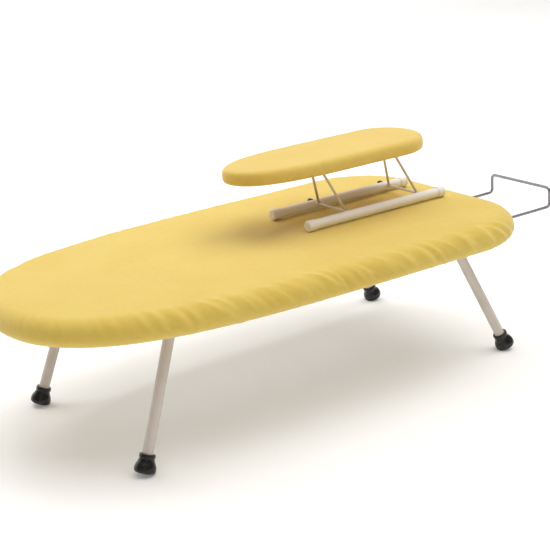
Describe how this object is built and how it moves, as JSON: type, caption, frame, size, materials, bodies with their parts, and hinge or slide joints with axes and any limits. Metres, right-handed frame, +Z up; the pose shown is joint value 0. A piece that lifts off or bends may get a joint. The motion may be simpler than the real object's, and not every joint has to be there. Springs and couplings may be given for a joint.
{
  "type": "ironing board",
  "caption": "Table-top ironing board with folding tube legs, a slide-out wire iron rest and a small padded sleeve board on folding wire stands.",
  "frame": {"origin": "on the table, under the middle of the whole object with the iron rest out and the sleeve board up", "axes": "+X towards the tail end and the iron rest, +Y to the rear, +Z up"},
  "size_m": [0.791, 0.3564, 0.272],
  "materials": {
    "deck_steel": "satin cream enamel on pressed steel",
    "underlay_foam": "matt foam-backed felt",
    "cover_cotton": "matt pale yellow cotton",
    "sleeve_cotton": "matt pale yellow cotton",
    "elastic": "braided elastic",
    "zinc_steel": "zinc-plated sheet steel",
    "rivet_steel": "bright zinc plate",
    "leg_enamel": "satin off-white enamel",
    "foot_rubber": "semi-gloss black rubber",
    "rest_wire": "zinc-plated round wire",
    "runner_plastic": "white plastic",
    "stand_enamel": "satin off-white enamel on wire",
    "cap_plastic": "dark push-on cap",
    "sleeve_wood": "plain sanded plywood"
  },
  "bodies": {
    "board": {"deck_plate": "deck_steel", "underlay_pad": "underlay_foam", "board_cover": "cover_cotton", "cover_elastic": "elastic", "nose_leg_clamps": "zinc_steel", "tail_leg_clamps": "zinc_steel", "clamp_rivets": "rivet_steel", "iron_rest_guides": "zinc_steel", "guide_rivets": "rivet_steel"},
    "nose_legs": {"nose_leg_tube": "leg_enamel", "nose_foot_front": "foot_rubber", "nose_foot_rear": "foot_rubber"},
    "tail_legs": {"tail_leg_tube": "leg_enamel", "tail_foot_front": "foot_rubber", "tail_foot_rear": "foot_rubber"},
    "iron_rest": {"iron_rest_wire": "rest_wire"},
    "sleeve_stand": {"runner_front": "runner_plastic", "runner_rear": "runner_plastic", "runner_front_caps": "runner_plastic", "runner_rear_caps": "runner_plastic"},
    "nose_stand": {"nose_stand_wire": "stand_enamel", "nose_stand_axle": "stand_enamel", "nose_stand_cap": "cap_plastic"},
    "tail_stand": {"tail_stand_wire": "stand_enamel", "tail_stand_axle": "stand_enamel", "tail_stand_cap": "cap_plastic"},
    "sleeve_board": {"sleeve_deck": "sleeve_wood", "sleeve_pad": "underlay_foam", "sleeve_cover": "sleeve_cotton", "sleeve_elastic": "elastic", "hinge_clips": "zinc_steel", "clip_screws": "rivet_steel"}
  },
  "joints": [
    {"name": "nose_leg_fold", "type": "hinge", "parent": "board", "child": "nose_legs", "pos_m": [-0.2403, 0, 0.16], "axis": [0, -1, 0], "range_deg": [0, 110.5]},
    {"name": "tail_leg_fold", "type": "hinge", "parent": "board", "child": "tail_legs", "pos_m": [0.1591, 0, 0.16], "axis": [0, 1, 0], "range_deg": [0, 114.5]},
    {"name": "iron_rest_slide", "type": "slide", "parent": "board", "child": "iron_rest", "axis": [-1, 0, 0], "range_m": [0, 0.118]},
    {"name": "sleeve_lift", "type": "slide", "parent": "board", "child": "sleeve_stand", "axis": [0, 0, 1], "range_m": [0, 0.1]},
    {"name": "stand_fold", "type": "hinge", "parent": "sleeve_stand", "child": "nose_stand", "pos_m": [0.0751, 0.01, 0.1939], "axis": [0, 1, 0], "range_deg": [0, 104]},
    {"name": "tail_stand_fold", "type": "hinge", "parent": "sleeve_stand", "child": "tail_stand", "pos_m": [0.1911, 0.01, 0.1939], "axis": [0, 1, 0], "range_deg": [0, 104]},
    {"name": "sleeve_board_hinge", "type": "hinge", "parent": "nose_stand", "child": "sleeve_board", "pos_m": [0.0499, 0.01, 0.2553], "axis": [0, 1, 0], "range_deg": [-104, 0]}
  ],
  "couplings": [
    {"joint": "tail_stand_fold", "follows": "stand_fold", "ratio": 1},
    {"joint": "sleeve_board_hinge", "follows": "stand_fold", "ratio": -1}
  ]
}
